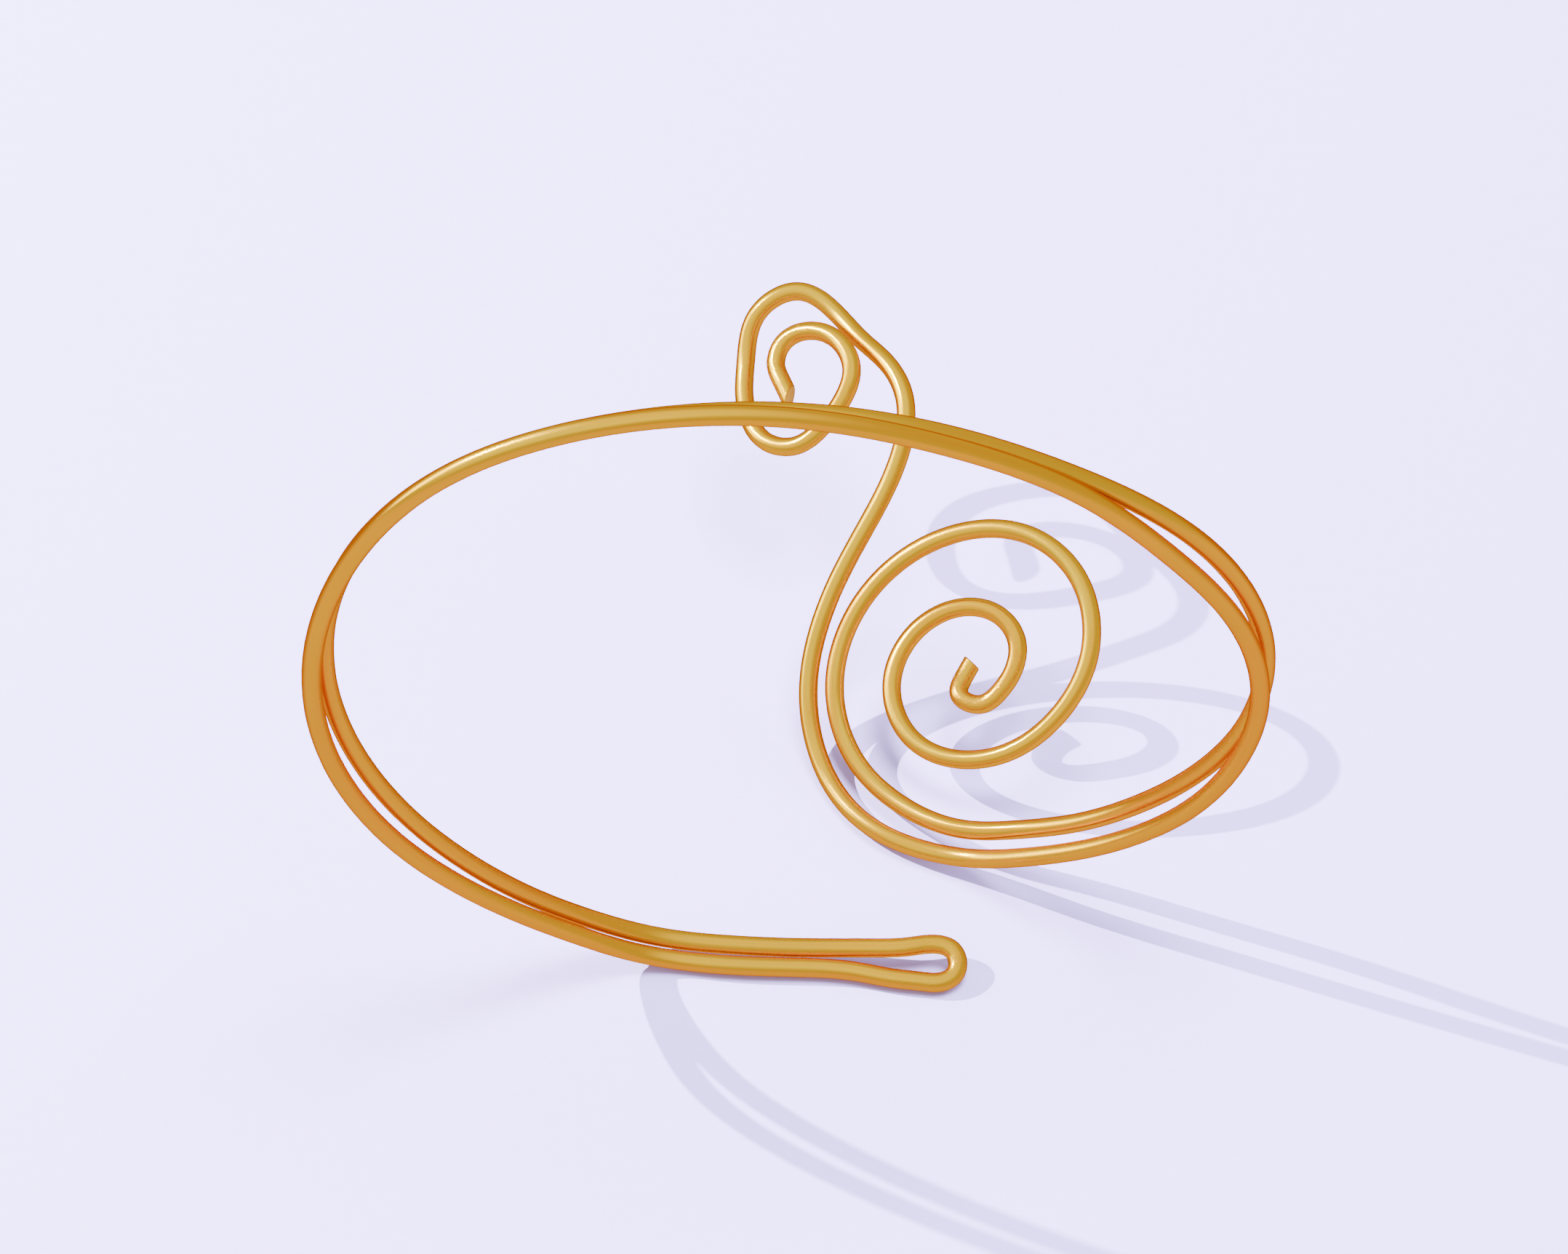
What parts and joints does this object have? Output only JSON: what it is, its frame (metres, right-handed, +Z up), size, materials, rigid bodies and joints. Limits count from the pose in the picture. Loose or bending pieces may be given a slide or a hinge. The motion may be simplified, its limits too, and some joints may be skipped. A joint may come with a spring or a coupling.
{
  "type": "coil bracelet",
  "caption": "Open bracelet bent from one round wire: a doubled oval band with a hairpin at its foot, and a big and a small flat scroll joined by an S-bend behind it.",
  "frame": {"origin": "on the resting surface, under the middle of the bracelet's box", "axes": "+X across the band, +Y from the band back to the scrolls, +Z up from the resting surface"},
  "size_m": [0.0612, 0.0498, 0.062],
  "materials": {
    "gold": "satin drawn wire"
  },
  "bodies": {
    "root": {"coil_wire": "gold"}
  },
  "joints": []
}
